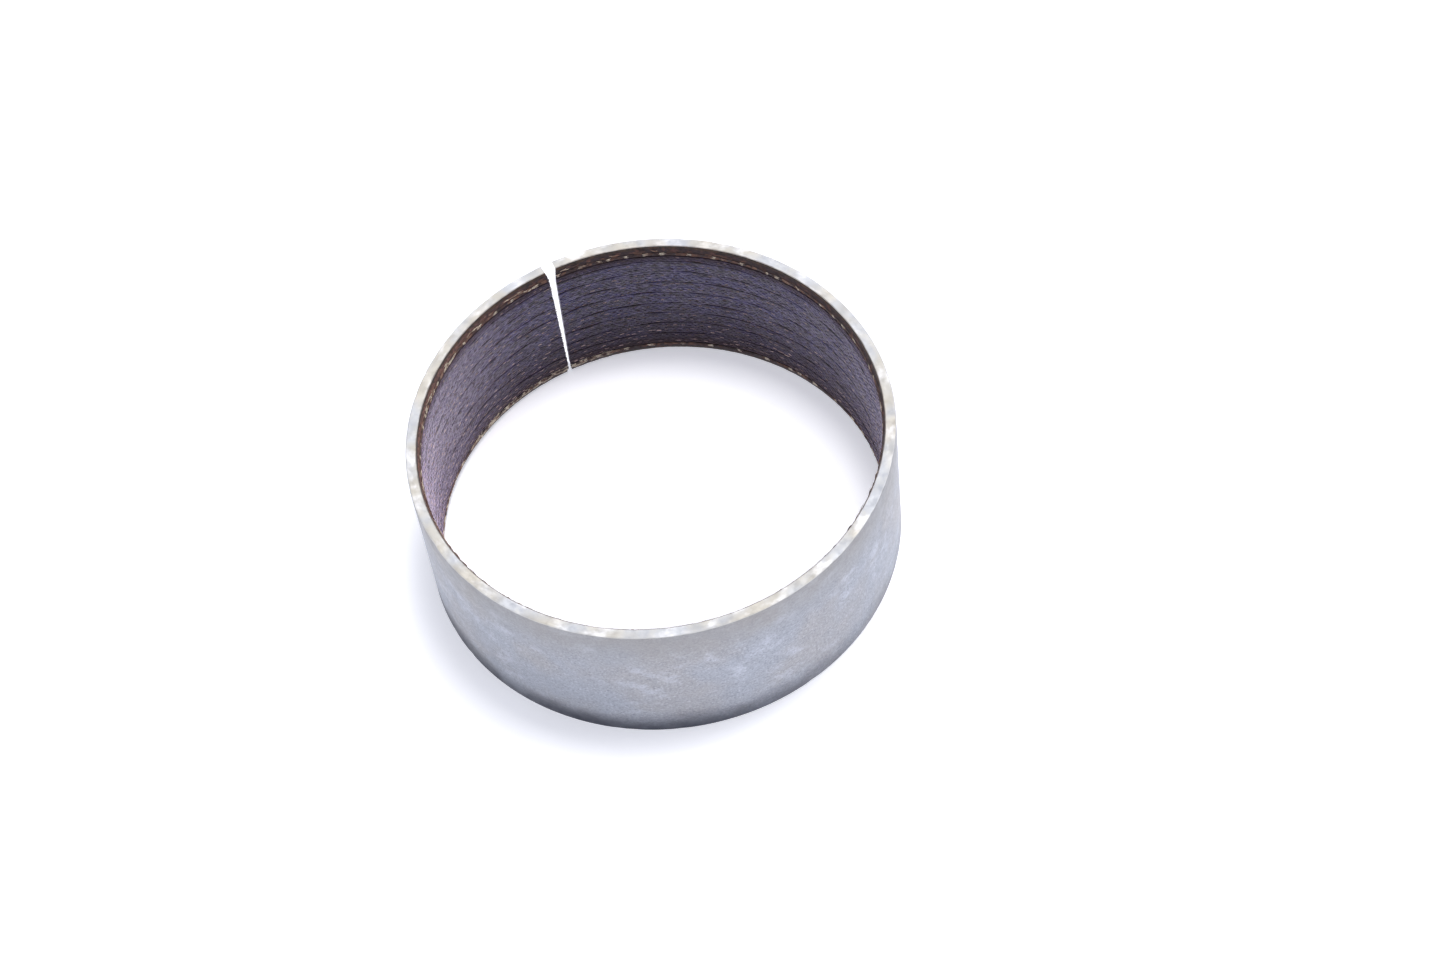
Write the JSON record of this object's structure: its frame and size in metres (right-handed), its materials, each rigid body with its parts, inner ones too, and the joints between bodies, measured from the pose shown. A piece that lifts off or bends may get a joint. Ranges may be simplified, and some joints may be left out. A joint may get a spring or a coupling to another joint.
{
  "type": "split sleeve bushing",
  "caption": "Thin split sleeve bushing: a rolled, plated steel backing with a bonded woven self-lubricating liner in its bore, pressed into a housing to carry a turning pin.",
  "frame": {"origin": "centre of the lower end face, on the bore's axis", "axes": "+Z along the bore's axis, +Y through the split"},
  "size_m": [0.054, 0.054, 0.0191],
  "materials": {
    "plated_steel": "dull grey zinc plate, lightly handled",
    "bond_resin": "dark brown cured resin",
    "ground_cloth": "resin-soaked brown cloth",
    "surface_yarn": "dark purple-grey woven yarn with a slight sheen",
    "edge_yarn": "tan binding yarn, cut at the bevel"
  },
  "bodies": {
    "root": {"steel_backing": "plated_steel", "bond_film": "bond_resin", "liner_ground_cloth": "ground_cloth", "surface_yarn_01": "surface_yarn", "surface_yarn_02": "surface_yarn", "surface_yarn_03": "surface_yarn", "surface_yarn_04": "surface_yarn", "surface_yarn_05": "surface_yarn", "surface_yarn_06": "surface_yarn", "surface_yarn_07": "surface_yarn", "surface_yarn_08": "surface_yarn", "surface_yarn_09": "surface_yarn", "surface_yarn_10": "surface_yarn", "surface_yarn_11": "surface_yarn", "surface_yarn_12": "surface_yarn", "surface_yarn_13": "surface_yarn", "surface_yarn_14": "surface_yarn", "surface_yarn_15": "surface_yarn", "surface_yarn_16": "surface_yarn", "surface_yarn_17": "surface_yarn", "edge_yarn_lower": "edge_yarn", "edge_yarn_upper": "edge_yarn"}
  },
  "joints": []
}
